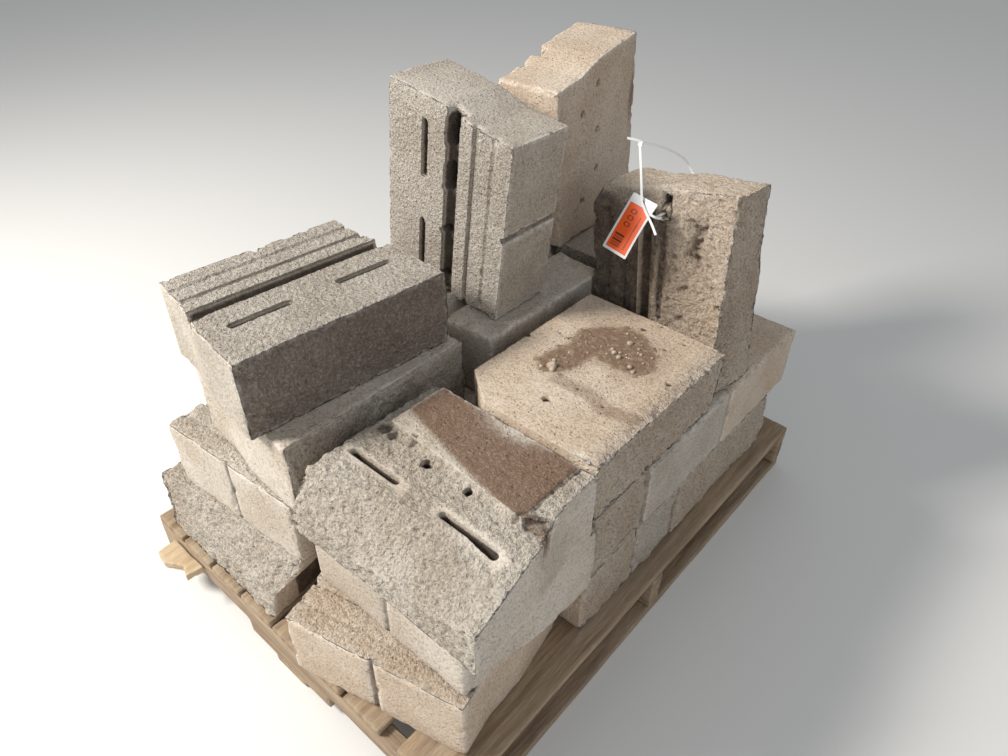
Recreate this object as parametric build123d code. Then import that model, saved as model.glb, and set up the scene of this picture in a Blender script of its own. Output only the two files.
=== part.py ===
"""A wooden pallet loaded with three layers of split-face concrete wall blocks, three more on top, and a tag.

The origin is at the centre of the pallet's underside. +Z is up, +Y runs along the deck boards away from
the front of the load, and +X is the side that most of the load's split faces look to.
"""
from build123d import *
import math
import os

# Wall block, in millimetres
block_width = 406            # along the split face
block_depth = 305            # from the split face to the back
block_height = 152
back_width = 356
shoulder_width = 394         # where the sides start to draw in
shoulder_depth = 140         # from the split face
waist_width = 360
waist_depth = 222
split_bulge = 7              # how far the rough face swells beyond its top edge
back_notch_width = 12        # groove down the middle of the back, where a block is split in two
back_notch_depth = 9
wide_groove_depth = 168      # from the split face to the groove's middle
wide_groove_width = 28
wide_groove_cut = 20
narrow_groove_depth = 219
narrow_groove_width = 9
narrow_groove_cut = 12
step_depth = 262
step_width = 8
step_cut = 6
groove_draft = 2
slot_row_depth = 98
slot_inner = 44
slot_outer = 156
slot_width = 12
slot_cut = 45
pin_hole_diameter = 14
outer_row_depth = 155        # row of four pin holes
outer_row_near = 45
outer_row_far = 145
inner_row_depth = 214        # row of two pin holes
inner_row_place = 100
pocket_width = 16            # pin holes broken out along the wide groove
pocket_length = 54
pocket_cut = 60

# Pallet
pallet_length = 1219         # along the deck boards
pallet_width = 914
board_thickness = 19
stringer_height = 89
stringer_thickness = 38
stringer_notch_length = 230
stringer_notch_height = 38
stringer_notch_place = 245   # middle of each fork notch, from the middle of the pallet
deck_board_count = 7
last_board_width = 138
board_gap = 6
wide_gap = 41
bottom_board_width = 100
broken_board_place = 67      # from the pallet's left side

# Load
side_gap = 2                 # between the blocks of a layer
front_gap = 9.5              # behind the middle layer's front right block
short_piece_width = 170      # a block sawn short
cut_piece_width = 146
third_column_width = 197     # the half blocks along the left side
load_right = 424             # right side of the load
front_block_column = 256     # the broken block at the front of the top layer
front_block_row = -400
dirty_block_column = 267
dirty_block_gap = 6.5        # behind the front block
tagged_block_column = 238
tagged_block_gap = 31        # behind the dirty block, as its leaning face needs
left_block_row = -335        # first block of the top layer's left column
left_block_gap = 10.5        # between it and the front block
left_column_gap = 37         # left of the dirty block
left_row_gap = 10            # behind the left column's first block
rear_row_gap = 3.5           # behind its second
rear_column_gap = 22.5       # left of the tagged block

# Front block of the top layer
worn_depth = 14              # worn off its top, all but the pad
pad_left = 150               # the pad's reach from the middle of the block
pad_right = 146
pad_front_left = 176         # from the split face
pad_front_right = 158
pad_rear = 298
pad_side_front = 196         # the raised rough stone right of the pad, at the block's side
side_chip = 25               # broken off the top of its left side

# Tag and cable ties
tie_hole = (150, 140)        # pin hole of the tagged block that the ties pass through
tag_width = 58
tag_length = 113
tag_thickness = 1.2
tag_hole_inset = 9
tag_hole_diameter = 9
tag_place = (-48, -114, 128)        # from the middle of the tagged block
tag_down = (-18, -64, -95)   # the way the tag hangs
tag_across = (58, -10, -4)
tie_width = 4.4
tie_thickness = 1.5
tie_head_size = (9, 7, 6)
tie_bend = 12
tie_head_place = (-84, -47, 52)     # from the middle of the tagged block's top
short_tie_drop = 12          # below the tag's hole
tie_tail = (62, 38)          # end of the loose tail, right of and below the tag's hole
tie_clearance = 1            # between a tie and the block's faces

deck_top = 2 * board_thickness + stringer_height
layer_base = [deck_top + level * block_height for level in range(4)]
middle = block_depth / 2
dirty_block_row = front_block_row + (block_depth + block_width) / 2 + dirty_block_gap
tagged_block_row = dirty_block_row + (block_width + block_height) / 2 + tagged_block_gap

os.makedirs("parts", exist_ok=True)


def save(shape, name):
    """Writes one piece."""
    export_step(shape, f"parts/{name}.step")
    return shape


def polygon(points, plane=Plane.XY):
    """A flat face with straight edges."""
    return make_face(plane * Polyline(*points, close=True))


def block_plan(height, reserve=90, drawn_in=True):
    """The block's outline from above, with room left in front of the split face."""
    side = [
        (shoulder_width / 2, shoulder_depth - middle),
        (waist_width / 2, waist_depth - middle),
        (back_width / 2, middle),
    ]
    right = [
        (block_width / 2, -middle - reserve),
        (block_width / 2, -middle),
        *(side if drawn_in else [(block_width / 2, middle)]),
        (back_notch_width / 2, middle),
        (0, middle - back_notch_depth),
    ]
    left = [(-x, y) for x, y in reversed(right[:-1])]
    return extrude(polygon(right + left), height)


def grooved_top(height):
    """The top line of the block from front to back, with its grooves, as depth and height."""
    line = []
    for place, width, cut in (
        (wide_groove_depth, wide_groove_width, wide_groove_cut),
        (narrow_groove_depth, narrow_groove_width, narrow_groove_cut),
        (step_depth, step_width, step_cut),
    ):
        line.append((place - width / 2, height))
        line.append((place - width / 2 + groove_draft, height - cut))
        line.append((place + width / 2 - groove_draft, height - cut))
        line.append((place + width / 2, height))
    return line


def section_face(w, points):
    """A section across the block at the distance w from its middle, from depths and heights."""
    return polygon([(depth - middle, up) for depth, up in points], Plane((w, 0, 0), x_dir=(0, 1, 0), z_dir=(1, 0, 0)))


def block_body(sections, drawn_in=True):
    """Joins sections across the block and trims them to the block's outline."""
    run = loft([section_face(w, points) for w, points in sections], ruled=True)
    return run & Pos(0, 0, -1) * block_plan(block_height + 2, drawn_in=drawn_in)


def front_line(top_out, middle_out, bottom_out):
    """The split face's line in a section, from its foot up. Outwards is away from the block."""
    return [
        (-bottom_out, 0),
        (-middle_out, block_height * 0.45),
        (-top_out, block_height),
    ]


def slots():
    """The two closed slots of the grooved face."""
    cut = None
    for side in (-1, 1):
        place = Pos(side * (slot_inner + slot_outer) / 2, slot_row_depth - middle, block_height - slot_cut)
        slot = place * extrude(SlotOverall(slot_outer - slot_inner, slot_width), slot_cut + 1)
        cut = slot if cut is None else cut + slot
    return cut


def pockets():
    """Two pin holes broken out along the wide groove."""
    place = Pos(0, outer_row_depth + 2 - middle, block_height - pocket_cut)
    cuts = [
        place * Pos(w, 0, 0) * extrude(SlotOverall(pocket_length, pocket_width), pocket_cut + 1)
        for w in (-outer_row_far - 6, -outer_row_near - 20)
    ]
    return cuts[0] + cuts[1]


def pin_holes(places):
    """Pin holes through the block."""
    drills = [
        Pos(w, depth - middle, block_height / 2) * Cylinder(pin_hole_diameter / 2, block_height + 4)
        for w, depth in places
    ]
    return drills


def all_pin_places():
    """Places of the six pin holes, as distance from the middle and depth."""
    row = [(side * w, outer_row_depth) for side in (-1, 1) for w in (outer_row_near, outer_row_far)]
    return row + [(side * inner_row_place, inner_row_depth) for side in (-1, 1)]


def wall_block(left=(0, split_bulge, 0), right=(0, split_bulge, 0), grooved=True, slotted=False, holes=(), drawn_in=True):
    """A whole block. left and right say how far its split face stands out at the top, middle and foot."""
    back = [(block_depth, block_height), (block_depth, 0)]
    top = grooved_top(block_height) if grooved else []
    ends = [(-block_width / 2, left), (block_width / 2, right)]
    body = block_body([(w, front_line(*out) + top + back) for w, out in ends], drawn_in)
    if slotted:
        body -= slots()
    for drill in pin_holes(holes):
        body -= drill
    return body


def plain_block(width=block_width, depth=block_depth):
    """A hidden or sawn block, with its split face at the front."""
    return Pos(0, 0, block_height / 2) * Box(width, depth, block_height)


def turned(shape, split_to, grooved_to):
    """Turns a block so that its split face and its grooved face look along the two directions."""
    across = Vector(*split_to).reverse().cross(Vector(*grooved_to))
    centred = Pos(0, 0, -block_height / 2) * shape
    return Plane((0, 0, 0), x_dir=across, z_dir=Vector(*grooved_to)).location * centred


def lying(shape, x, y, base, turn, face_up=True):
    """Lays a block on its wide face. At turn 0 its split face looks to the front."""
    up = (0, 0, 1) if face_up else (0, 0, -1)
    return Pos(x, y, base + block_height / 2) * Rot(0, 0, turn) * turned(shape, (0, -1, 0), up)


def standing_lean():
    """Angle at which a block stands on its side, on its shoulder and its back corner."""
    rise = (shoulder_width - back_width) / 2
    return math.degrees(math.atan2(rise, block_depth - shoulder_depth))


def standing_height():
    """Height of a standing block's middle over what it stands on."""
    lean = math.radians(standing_lean())
    return shoulder_width / 2 * math.cos(lean) + (shoulder_depth - middle) * math.sin(lean)


def standing(shape, x, y, base, split_to, grooved_to, turn):
    """Stands a block on its side, leaning back onto its shoulder."""
    tip = Axis((0, 0, 0), Vector(*split_to).cross(Vector(0, 0, 1)))
    leaning = turned(shape, split_to, grooved_to).rotate(tip, standing_lean())
    return Pos(x, y, base + standing_height()) * Rot(0, 0, turn) * leaning


def make_pallet():
    """The pallet: stringers across, deck boards and bottom boards along."""
    stringer = Box(pallet_width, stringer_thickness, stringer_height)
    for side in (-1, 1):
        foot = Pos(side * stringer_notch_place, 0, (stringer_notch_height - stringer_height) / 2)
        stringer -= foot * Box(stringer_notch_length, stringer_thickness + 2, stringer_notch_height)
    reach = (pallet_length - stringer_thickness) / 2
    for name, y in (("front_stringer", -reach), ("middle_stringer", 0), ("rear_stringer", reach)):
        save(Pos(0, y, board_thickness + stringer_height / 2) * stringer, name)
    boards = pallet_width - last_board_width - wide_gap - (deck_board_count - 1) * board_gap
    deck_board_width = boards / deck_board_count
    left = -pallet_width / 2
    for number in range(deck_board_count):
        board = Box(deck_board_width, pallet_length, board_thickness)
        save(Pos(left + deck_board_width / 2, 0, deck_top - board_thickness / 2) * board, f"deck_board_{number + 1}")
        left += deck_board_width + board_gap
    board = Box(last_board_width, pallet_length, board_thickness)
    place = Pos((pallet_width - last_board_width) / 2, 0, deck_top - board_thickness / 2)
    save(place * board, f"deck_board_{deck_board_count + 1}")
    reach = (pallet_width - bottom_board_width) / 2
    for name, x in (("left_bottom_board", -reach), ("middle_bottom_board", 0), ("right_bottom_board", reach)):
        save(Pos(x, 0, board_thickness / 2) * Box(bottom_board_width, pallet_length, board_thickness), name)


def make_broken_board():
    """The broken end of a board that sticks out in front of the front stringer."""
    outline = [(0, 0), (114, 0), (108, -40), (80, -30), (45, -52), (4, -46)]
    place = Pos(broken_board_place - pallet_width / 2, -pallet_length / 2, deck_top - 2 * board_thickness - 5)
    save(place * extrude(polygon(outline), board_thickness), "broken_board")


def slanted_block():
    """The block whose split face runs out to its foot, with the foot's right corner broken off."""
    body = wall_block(left=(0, 6, 10), right=(0, 54, 66))
    half = block_width / 2
    corner = [(half - 42, -1), (half + 5, -1), (half + 5, 130), (half - 40, 64)]
    corner_face = polygon(corner, Plane((0, -middle - 90, 0), x_dir=(1, 0, 0), z_dir=(0, -1, 0)))
    return body - extrude(corner_face, -190)


def make_first_layer():
    """The bottom layer."""
    base = layer_base[0]
    save(lying(slanted_block(), -223, -412, base, 7.9), "layer_1_front_left")
    save(lying(wall_block(), 211, -435, base, 193.7), "layer_1_front_right")
    column = load_right - block_depth / 2
    second = column - block_depth - side_gap
    row = -138
    short_piece = Box(block_depth, short_piece_width, block_height)
    save(Pos(column, row, base + block_height / 2) * short_piece, "layer_1_short_piece_right")
    save(Pos(second, row, base + block_height / 2) * short_piece, "layer_1_short_piece_middle")
    row += (short_piece_width + cut_piece_width) / 2 + side_gap
    cut_piece = Box(block_depth, cut_piece_width, block_height)
    save(Pos(column, row, base + block_height / 2) * cut_piece, "layer_1_cut_piece_right")
    save(Pos(second, row, base + block_height / 2) * cut_piece, "layer_1_cut_piece_middle")
    row += (cut_piece_width + block_width) / 2 + side_gap
    save(lying(wall_block(grooved=False), column, row, base, 90), "layer_1_rear_right")
    third = second - (block_depth + third_column_width) / 2 - side_gap
    save(lying(plain_block(), second, row, base, 90), "layer_1_rear_middle")
    row += (block_width - block_depth) / 2
    save(lying(plain_block(third_column_width), third, row, base, 0), "layer_1_rear_left")
    save(lying(plain_block(third_column_width), third, row - block_depth - side_gap, base, 0), "layer_1_middle_left")


def make_second_layer():
    """The middle layer."""
    base = layer_base[1]
    save(lying(wall_block(), -182, -397, base, 184.4), "layer_2_front_left")
    column = load_right - 4 - block_depth / 2
    second = column - block_depth - side_gap
    row = -129
    front_row = row - (short_piece_width + block_depth) / 2 - front_gap
    save(lying(wall_block(), 229, front_row, base, 180.7), "layer_2_front_right")
    short_piece = Box(block_depth, short_piece_width, block_height)
    save(Pos(column, row, base + block_height / 2) * short_piece, "layer_2_short_piece_right")
    save(Pos(second, row, base + block_height / 2) * short_piece, "layer_2_short_piece_middle")
    row += short_piece_width / 2 + side_gap + block_depth / 2
    across = load_right - 4 - block_width / 2
    for name in ("middle", "rear"):
        save(lying(plain_block(), across, row, base, 180), f"layer_2_{name}_right")
        save(lying(plain_block(), across - block_width - side_gap, row, base, 180), f"layer_2_{name}_left")
        row += block_depth + side_gap


def front_block():
    """The broken front block: worn down, with a slope to a lip in front and a smooth pad left on its top."""
    low = block_height - worn_depth
    half = block_width / 2
    slopes = (
        # place across, height of the lip, foot, start of the slope
        (-half, 66, 8, 24),
        (-60, 44, 2, 62),
        (90, 62, 0, 84),
        (half, 88, 0, 136),
    )
    sections = []
    for w, lip, foot, slope_top in slopes:
        front = [(-foot, 0), (-foot, lip), (slope_top, low)]
        sections.append((w, front + [(block_depth, low), (block_depth, 0)]))
    body = block_body(sections)
    pad = [
        (-pad_left, pad_front_left - middle),
        (pad_right, pad_front_right - middle),
        (half, pad_side_front - middle),
        (half, pad_rear - middle),
        (-pad_left, pad_rear - middle),
    ]
    body += block_plan(block_height) & Pos(0, 0, low - 1) * extrude(polygon(pad), worn_depth + 1)
    chip = [(-half - 5, 0), (-half, 0), (-half + side_chip, block_height + 1), (-half - 5, block_height + 1)]
    chip_face = polygon(chip, Plane((0, -middle - 60, 0), x_dir=(1, 0, 0), z_dir=(0, -1, 0)))
    body -= extrude(chip_face, -block_depth - 120)
    body -= slots()
    for drill in pin_holes([(w, outer_row_depth) for w in (-outer_row_near, outer_row_near)]):
        body -= drill
    return body


def cornerless_block():
    """The dirty block with its smooth face up and one back corner broken off."""
    body = wall_block(left=(0, 9, 12), right=(0, 9, 12), holes=[(125, 158)], drawn_in=False)
    corner = [
        (block_width / 2 + 5, middle - 79),
        (block_width / 2 + 5, middle + 5),
        (block_width / 2 - 59, middle + 5),
    ]
    return body - Pos(0, 0, -1) * extrude(polygon(corner), block_height + 2)


def fractured_block():
    """The tagged block, with its grooved face broken away on a slant over its front half."""
    body = wall_block(left=(-6, 4, 0), right=(-14, 2, 0))
    shelf = block_height + 5
    broken = [
        (-30, shelf),
        (-30, block_height - 62),
        (40, block_height - 58),
        (120, block_height - 30),
        (168, block_height),
        (172, shelf),
    ]
    upper = section_face(block_width / 2 + 5, broken)
    lower_points = [
        (-30, shelf),
        (-30, block_height - 16),
        (40, block_height - 14),
        (90, block_height - 8),
        (112, block_height),
        (116, shelf),
    ]
    lower = section_face(-block_width / 2 - 5, lower_points)
    body -= loft([lower, upper], ruled=True)
    half = block_width / 2
    corner = [(half - 62, block_height), (half + 5, block_height - 78), (half + 5, block_height + 5), (half - 62, block_height + 5)]
    corner_face = polygon(corner, Plane((0, middle + 5, 0), x_dir=(1, 0, 0), z_dir=(0, -1, 0)))
    body -= extrude(corner_face, block_depth - shoulder_depth)
    for drill in pin_holes([tie_hole]):
        body -= drill
    return body


def tagged_place(shape):
    """Where the tagged block stands, on the middle layer."""
    return standing(shape, tagged_block_column, tagged_block_row, layer_base[2], (1, 0, 0), (0, -1, 0), -8.3)


def on_tagged(w, depth, up):
    """A point given in the tagged block's own frame."""
    return tagged_place(Vertex(w, depth - middle, up)).center()


def tie(points, bend, face_out):
    """A flat strap along a route. face_out is the way its flat side looks at the start."""
    path = FilletPolyline(*points, radius=bend)
    start = Vector(*points[0])
    along = Vector(*points[1]) - start
    section = Plane(start, x_dir=along.cross(Vector(*face_out)), z_dir=along) * Rectangle(tie_width, tie_thickness)
    return sweep(section, path, transition=Transition.ROUND)


def make_tag():
    """The tag, and the cable ties that hold it to the block."""
    across = Vector(*tag_across).normalized()
    down = Vector(*tag_down)
    down = (down - across * down.dot(across)).normalized()
    foot = Vector(tagged_block_column, tagged_block_row, layer_base[2])
    place = foot + Vector(*tag_place) + Vector(0, 0, block_width / 2)
    plane = Plane(place, x_dir=across, z_dir=across.cross(down * -1))
    hole_up = tag_length / 2 - tag_hole_inset
    hole = Pos(0, hole_up, 0) * Cylinder(tag_hole_diameter / 2, 5)
    save(plane.location * (Box(tag_width, tag_length, tag_thickness) - hole), "tag")

    def on_tag(right, up, out):
        return plane.from_local_coords((right, up, out))

    over_tag = (tag_thickness + tie_thickness) / 2 + tie_clearance / 4
    head = foot + Vector(*tie_head_place) + Vector(0, 0, block_width)
    tail = on_tag(tie_tail[0], hole_up - tie_tail[1], over_tag + 1)
    apart = Vector(0, tie_thickness, tie_thickness)
    front = tie([head - apart, on_tag(0, hole_up, over_tag + 0.3), tail], tie_bend, (0, -1, 0))
    hole_w, hole_depth = tie_hole
    reach = tie_thickness / 2 + tie_clearance
    over = on_tagged(shoulder_width / 2 + 6, hole_depth, -reach - 3)
    behind = on_tagged(hole_w, hole_depth, -reach)
    rear = tie([head + apart, over, behind, on_tagged(hole_w, hole_depth, 26)], tie_bend / 2, (0, 0, 1))
    crossing = tie_tail[0] * short_tie_drop / tie_tail[1]
    start = on_tag(crossing + tie_width * 1.6, hole_up - short_tie_drop, over_tag + 1)
    turn = on_tag(tag_width * 0.85, hole_up - short_tie_drop / 2, over_tag + 1)
    mouth = on_tagged(hole_w, hole_depth, block_height - 6)
    inside = on_tagged(hole_w, hole_depth, block_height - 80)
    short = tie([start, turn, mouth, inside], tie_bend / 3, plane.z_dir)
    save(front, "front_tie")
    save(rear, "rear_tie")
    save(short, "short_tie")
    save(Pos(*head) * Box(*tie_head_size) - front - rear, "tie_head")


def make_third_layer():
    """The top layer, and the tagged block that stands on the layer below."""
    base = layer_base[2]
    half_sizes = (block_width + block_depth) / 2
    save(lying(front_block(), front_block_column, front_block_row, base, 0), "layer_3_front_block")
    dirty_block = lying(cornerless_block(), dirty_block_column, dirty_block_row, base, 90, face_up=False)
    save(dirty_block, "layer_3_dirty_block")
    column = front_block_column - half_sizes - left_block_gap
    save(lying(wall_block(grooved=False), column, left_block_row, base, 90), "layer_3_left_front")
    column = dirty_block_column - block_depth - left_column_gap
    row = left_block_row + block_width + left_row_gap
    save(lying(wall_block(), column, row, base, 270), "layer_3_left_middle")
    column = tagged_block_column - half_sizes - rear_column_gap
    save(lying(plain_block(), column, row + half_sizes + rear_row_gap, base, 0), "layer_3_left_rear")
    save(tagged_place(fractured_block()), "tagged_block")


def make_top_blocks():
    """The three blocks on top of the load."""
    base = layer_base[3]
    chipped = wall_block(left=(0, 4, 0), right=(4, 8, 2), slotted=True)
    save(lying(chipped, -145, -346, base, 85.2), "top_lying_block")
    slotted = wall_block(slotted=True, holes=all_pin_places()[:4]) - pockets()
    save(standing(slotted, -91, 28, base, (-1, 0, 0), (0, -1, 0), 0), "top_standing_block")
    drilled = wall_block(grooved=True, holes=all_pin_places())
    save(standing(drilled, -132, 394, base, (0, 1, 0), (-1, 0, 0), 4.1), "top_drilled_block")


make_pallet()
make_broken_board()
make_first_layer()
make_second_layer()
make_third_layer()
make_top_blocks()
make_tag()
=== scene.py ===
# %% [markdown]
# # A pallet of concrete blocks
# Split-face concrete wall blocks lie three layers deep on a wooden pallet, with three more on top and a
# tag on cable ties. The solids come from the CAD model. Here each one gets the skin of the real thing:
# broken faces, pits, chipped edges, dirt and weathered wood. The solids are flat sided, so a remesh gives
# them an even grid of small faces first, and Geometry Nodes then wear that grid down. Wear only takes
# material away, so nothing grows past the real size.

import bmesh
import bpy
import math
import numpy as np
from mathutils import Matrix, Vector, noise as noise_tools


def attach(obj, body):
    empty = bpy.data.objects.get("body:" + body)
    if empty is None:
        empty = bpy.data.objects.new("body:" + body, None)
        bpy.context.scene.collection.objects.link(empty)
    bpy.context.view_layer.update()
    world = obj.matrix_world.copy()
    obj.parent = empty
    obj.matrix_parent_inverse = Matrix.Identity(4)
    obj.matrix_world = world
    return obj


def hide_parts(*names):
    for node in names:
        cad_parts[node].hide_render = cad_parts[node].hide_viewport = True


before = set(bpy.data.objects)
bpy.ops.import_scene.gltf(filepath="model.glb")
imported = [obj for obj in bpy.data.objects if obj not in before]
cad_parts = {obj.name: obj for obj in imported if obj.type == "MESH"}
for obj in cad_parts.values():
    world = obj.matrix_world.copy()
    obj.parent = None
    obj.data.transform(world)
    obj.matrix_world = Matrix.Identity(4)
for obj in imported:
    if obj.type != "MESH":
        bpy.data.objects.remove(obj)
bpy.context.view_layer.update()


def link_new(name, data):
    """A new object in the scene."""
    made = bpy.data.objects.new(name, data)
    bpy.context.scene.collection.objects.link(made)
    return made


# %% [markdown]
# ## Camera
# The photograph looks down at the load from its front right corner. The camera's place, tilt and lens
# were worked out from corners of blocks of known size.

# %% Camera
camera_place = (0.852, -0.952, 1.388)
camera_tilt = 52.191            # from straight down
camera_heading = 41.0
camera_roll = 0.651
camera_data = bpy.data.cameras.new("camera")
camera_data.sensor_width = 36
camera_data.lens = 26.765
camera = link_new("camera", camera_data)
turn = Matrix.Identity(4)
for angle, axis in ((camera_heading, "Z"), (camera_tilt, "X"), (camera_roll, "Z")):
    turn = turn @ Matrix.Rotation(math.radians(angle), 4, axis)
camera.matrix_world = Matrix.Translation(camera_place) @ turn
bpy.context.scene.camera = camera

# %% [markdown]
# ## Studio
# A plain pale floor and soft lamps show the object alone. The large lamp is high up at the front left,
# because the tops and the fronts of the blocks are the bright sides in the photograph.

# %% Floor and lamps
floor_half = 30.0
corners = [(x * floor_half, y * floor_half, 0) for x, y in ((-1, -1), (1, -1), (1, 1), (-1, 1))]
floor_mesh = bpy.data.meshes.new("floor")
floor_mesh.from_pydata(corners, [], [(0, 1, 2, 3)])
floor = link_new("floor", floor_mesh)
floor_finish = bpy.data.materials.new("pale floor")
floor_finish.use_nodes = True
floor_shader = floor_finish.node_tree.nodes["Principled BSDF"].inputs
floor_shader["Base Color"].default_value = (0.78, 0.77, 0.75, 1)
floor_shader["Roughness"].default_value = 0.9
floor_mesh.materials.append(floor_finish)

world = bpy.data.worlds.new("studio")
world.use_nodes = True
sky = world.node_tree.nodes["Background"].inputs
sky["Color"].default_value = (0.92, 0.96, 1.0, 1)
sky["Strength"].default_value = 0.4
bpy.context.scene.world = world
bpy.context.scene.view_settings.view_transform = "Standard"


load_middle = Vector((0, 0, 0.4))


def add_lamp(name, place, size, power, colour):
    """A square lamp that looks at the middle of the load."""
    data = bpy.data.lights.new(name, "AREA")
    data.size = size
    data.energy = power
    data.color = colour
    lamp = link_new(name, data)
    aim = load_middle - Vector(place)
    lamp.matrix_world = Matrix.Translation(place) @ aim.to_track_quat("-Z", "Y").to_matrix().to_4x4()


add_lamp("key", (-1.75, -2.35, 2.95), 0.8, 188, (1.0, 0.96, 0.9))
add_lamp("fill", (3.0, -1.4, 2.2), 2.5, 22, (0.94, 0.97, 1.0))

# %% [markdown]
# ## Helpers for nodes
# Geometry Nodes and materials are both graphs. These helpers make a tree with named inputs, place a node
# and wire its inputs, do a sum, and give noise of a size in metres.

# %% Node helpers
def new_tree(name, kind, takes, gives):
    """A node group with named inputs and outputs, and its two end nodes."""
    tree = bpy.data.node_groups.new(name, kind)
    for label, kind_of_value, value in takes:
        socket = tree.interface.new_socket(label, in_out="INPUT", socket_type="NodeSocket" + kind_of_value)
        if value is not None:
            socket.default_value = value
    for label, kind_of_value in gives:
        tree.interface.new_socket(label, in_out="OUTPUT", socket_type="NodeSocket" + kind_of_value)
    return tree, tree.nodes.new("NodeGroupInput").outputs, tree.nodes.new("NodeGroupOutput").inputs


def place_node(tree, kind, inputs=None, **settings):
    """Adds a node, sets it up and returns its outputs. An input is a value or another node's output."""
    node = tree.nodes.new(kind)
    for label, value in settings.items():
        setattr(node, label, value)
    for key, value in (inputs or {}).items():
        if isinstance(value, bpy.types.NodeSocket):
            tree.links.new(value, node.inputs[key])
        else:
            node.inputs[key].default_value = value
    return node.outputs


def calculate(tree, operation, *values, clamp=False):
    """One sum."""
    inputs = dict(enumerate(values))
    return place_node(tree, "ShaderNodeMath", inputs, operation=operation, use_clamp=clamp)[0]


def times(tree, first, second):
    return calculate(tree, "MULTIPLY", first, second)


def times_plus(tree, first, second, third):
    """first times second, plus third."""
    return calculate(tree, "MULTIPLY_ADD", first, second, third)


def steps(tree, value, low, high):
    """0 below low, 1 above high and smooth in between. With low above high it runs the other way."""
    inputs = {0: value, 1: low, 2: high, 3: 0.0, 4: 1.0}
    if low > high:
        inputs = {0: value, 1: high, 2: low, 3: 1.0, 4: 0.0}
    return place_node(tree, "ShaderNodeMapRange", inputs, interpolation_type="SMOOTHSTEP")[0]


def noise(tree, position, size, detail=3.0, roughness=0.55):
    """Cloudy noise with features of about the size given, in metres or as another node's output."""
    scale = calculate(tree, "DIVIDE", 1.0, size) if isinstance(size, bpy.types.NodeSocket) else 1 / size
    inputs = {"Vector": position, "Scale": scale, "Detail": detail, "Roughness": roughness}
    return place_node(tree, "ShaderNodeTexNoise", inputs)[0]


def cells(tree, position, size):
    """Distance from the middle of random cells, and one random number for each cell."""
    found = place_node(tree, "ShaderNodeTexVoronoi", {"Vector": position, "Scale": 1 / size})
    chance = place_node(tree, "ShaderNodeSeparateXYZ", {0: found[1]})[0]
    return found[0], chance


# %% [markdown]
# ## Wearing the concrete
# Wall blocks are cast in pairs and then split, so the front is broken stone, while back and sides come
# smooth from the mould. The weathering tree moves each point of a block inwards. Broken faces move back
# along one direction by lumps and whole grains, pitted faces get small craters, and sharp edges crumble.
# It stores how deep and how near to an edge a point is, so that the material can paint shade into deep
# places and wear onto edges.

# %% Geometry Nodes tree for weathered concrete
sharp_bend = 0.6                # an edge is sharp from this angle on, in radians
weld_distance = 0.00001


def finish_tree(tree, given, result, shape):
    """Ends a tree: whatever it made becomes real faces with the material asked for."""
    real = place_node(tree, "GeometryNodeRealizeInstances", {"Geometry": shape})[0]
    inputs = {"Geometry": real, "Material": given["Material"]}
    tree.links.new(place_node(tree, "GeometryNodeSetMaterial", inputs)[0], result["Geometry"])


def edge_distance(tree, solid_object):
    """How far a point is from the nearest sharp edge of the CAD solid, whose faces are joined up first."""
    solid = place_node(tree, "GeometryNodeObjectInfo", {0: solid_object})["Geometry"]
    inputs = {"Geometry": solid, "Distance": weld_distance}
    solid = place_node(tree, "GeometryNodeMergeByDistance", inputs)[0]
    bend = place_node(tree, "GeometryNodeInputMeshEdgeAngle")[0]
    compare = {"data_type": "FLOAT", "operation": "GREATER_THAN"}
    sharp = place_node(tree, "FunctionNodeCompare", {0: bend, 1: sharp_bend}, **compare)[0]
    edges = place_node(tree, "GeometryNodeSeparateGeometry", {0: solid, 1: sharp}, domain="EDGE")[0]
    return place_node(tree, "GeometryNodeProximity", {0: edges}, target_element="EDGES")["Distance"]


def shifted_place(tree, seed):
    """The point's place, moved by the seed so that no two pieces wear alike."""
    here = place_node(tree, "GeometryNodeInputPosition")[0]
    shift = place_node(tree, "ShaderNodeCombineXYZ", {0: seed, 1: seed, 2: seed})[0]
    return place_node(tree, "ShaderNodeVectorMath", {0: here, 1: shift}, operation="ADD")[0]


def scaled(tree, vector, amount):
    return place_node(tree, "ShaderNodeVectorMath", {0: vector, "Scale": amount}, operation="SCALE")[0]


def store(tree, shape, label, value):
    inputs = {"Geometry": shape, "Name": label, "Value": value}
    return place_node(tree, "GeometryNodeStoreNamedAttribute", inputs, data_type="FLOAT", domain="POINT")[0]


def wear_group(name, own):
    """A tree that takes a piece, its CAD solid, its material, a seed and values of its own."""
    takes = [
        ("Geometry", "Geometry", None),
        ("CAD Solid", "Object", None),
        ("Material", "Material", None),
        ("Seed", "Float", 0.0),
    ]
    return new_tree(name, "GeometryNodeTree", takes + own, [("Geometry", "Geometry")])


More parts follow.
